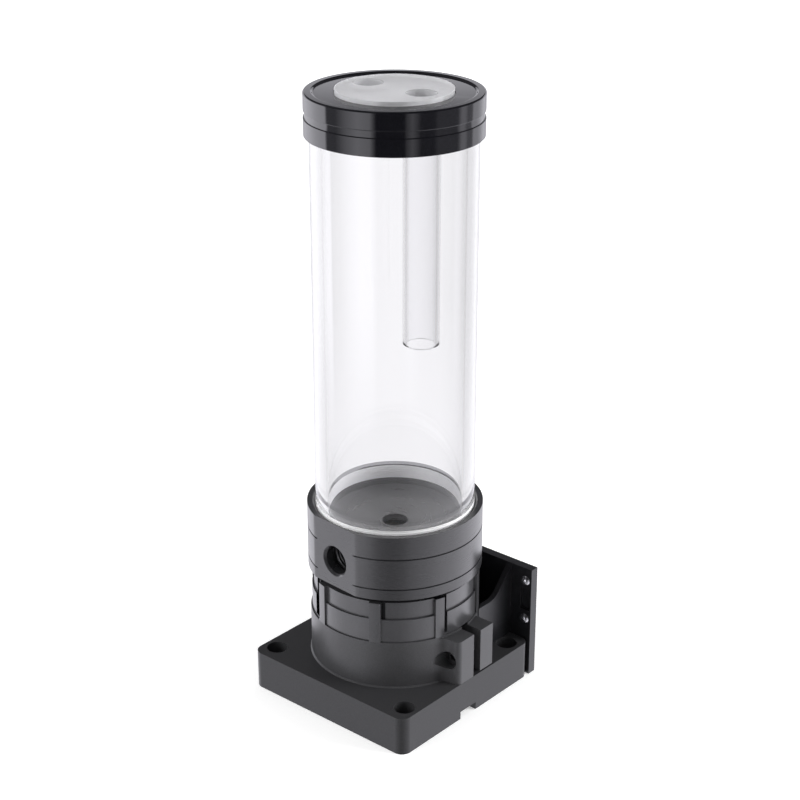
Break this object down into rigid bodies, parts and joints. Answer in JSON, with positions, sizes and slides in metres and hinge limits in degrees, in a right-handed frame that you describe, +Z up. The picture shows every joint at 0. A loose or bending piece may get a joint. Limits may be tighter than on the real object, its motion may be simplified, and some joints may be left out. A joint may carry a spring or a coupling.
{
  "type": "coolant pump reservoir",
  "caption": "Clear coolant reservoir tube on a pump top with threaded ports, its pump held in a split clamp on a square base with a rear mounting plate.",
  "frame": {"origin": "on the tube's axis at the underside of the base plate, which is the middle of the part's plan", "axes": "+Z up the tube's axis, +Y towards the rear plate's back face, +X towards the clamp ears and the cable notch"},
  "size_m": [0.0834, 0.0864, 0.2554],
  "materials": {
    "black_acetal": "satin",
    "black_plate": "satin",
    "housing_plastic": "satin",
    "black_satin": "satin",
    "black_gloss": "gloss",
    "clear_acrylic": "gloss",
    "frosted_acrylic": "frosted",
    "steel": "plain",
    "bright_steel": "polished",
    "black_steel": "blackened",
    "can_steel": "drawn",
    "core_steel": "laminated",
    "copper": "lacquered",
    "ferrite": "sintered",
    "pump_plastic": "moulded",
    "pale_plastic": "moulded",
    "ceramic": "polished",
    "board": "solder resist",
    "red_plastic": "moulded",
    "rubber": "matte"
  },
  "bodies": {
    "base": {"base_plate": "black_acetal", "clamp_tower": "black_acetal", "rear_bracket": "black_plate", "tower_screws": "steel", "bracket_screws": "steel", "side_screws": "bright_steel", "clamp_nut": "steel"},
    "washer": {"clamp_washer": "steel"},
    "screw": {"clamp_screw": "black_steel"},
    "pump_unit": {"pump_housing": "housing_plastic", "motor_can": "can_steel", "pump_body": "pump_plastic", "stator_core": "core_steel", "stator_coils": "copper", "control_board": "board", "cable_grommet": "rubber", "bearing_ball": "ceramic", "pump_seal": "rubber", "pump_top": "black_satin", "tube_seal": "rubber", "tube": "clear_acrylic"},
    "rotor": {"rotor_magnet": "ferrite", "impeller": "pale_plastic"},
    "dial": {"speed_dial": "red_plastic"},
    "disc": {"cap_insert": "frosted_acrylic", "insert_seal": "rubber", "return_tube": "clear_acrylic"},
    "cap": {"cap_ring": "black_gloss"}
  },
  "joints": [
    {"name": "clamp_rise", "type": "slide", "parent": "base", "child": "washer", "axis": [0, -1, 0], "range_m": [0, 0.0014]},
    {"name": "clamp_turn", "type": "hinge", "parent": "washer", "child": "screw", "pos_m": [0.03635, 0, 0.0269], "axis": [0, -1, 0], "range_deg": [0, 720]},
    {"name": "pump_turn", "type": "hinge", "parent": "base", "child": "pump_unit", "pos_m": [0, 0, 0.0374], "axis": [0, 0, 1], "range_deg": [-180, 180]},
    {"name": "rotor_spin", "type": "hinge", "parent": "pump_unit", "child": "rotor", "pos_m": [0, 0, 0.052], "axis": [0, 0, 1], "continuous": true},
    {"name": "dial_turn", "type": "hinge", "parent": "pump_unit", "child": "dial", "pos_m": [-0.0115, 0.0065, 0.02], "axis": [0, 0, 1], "range_deg": [0, 270]},
    {"name": "cap_lift", "type": "slide", "parent": "pump_unit", "child": "disc", "axis": [0, 0, 1], "range_m": [0, 0.01]},
    {"name": "cap_turn", "type": "hinge", "parent": "disc", "child": "cap", "pos_m": [0, 0, 0.2464], "axis": [0, 0, 1], "range_deg": [0, 1800]}
  ],
  "couplings": [
    {"joint": "clamp_turn", "follows": "clamp_rise", "rad_per_m": 8976},
    {"joint": "cap_lift", "follows": "cap_turn", "m_per_rad": 0.0003183}
  ]
}
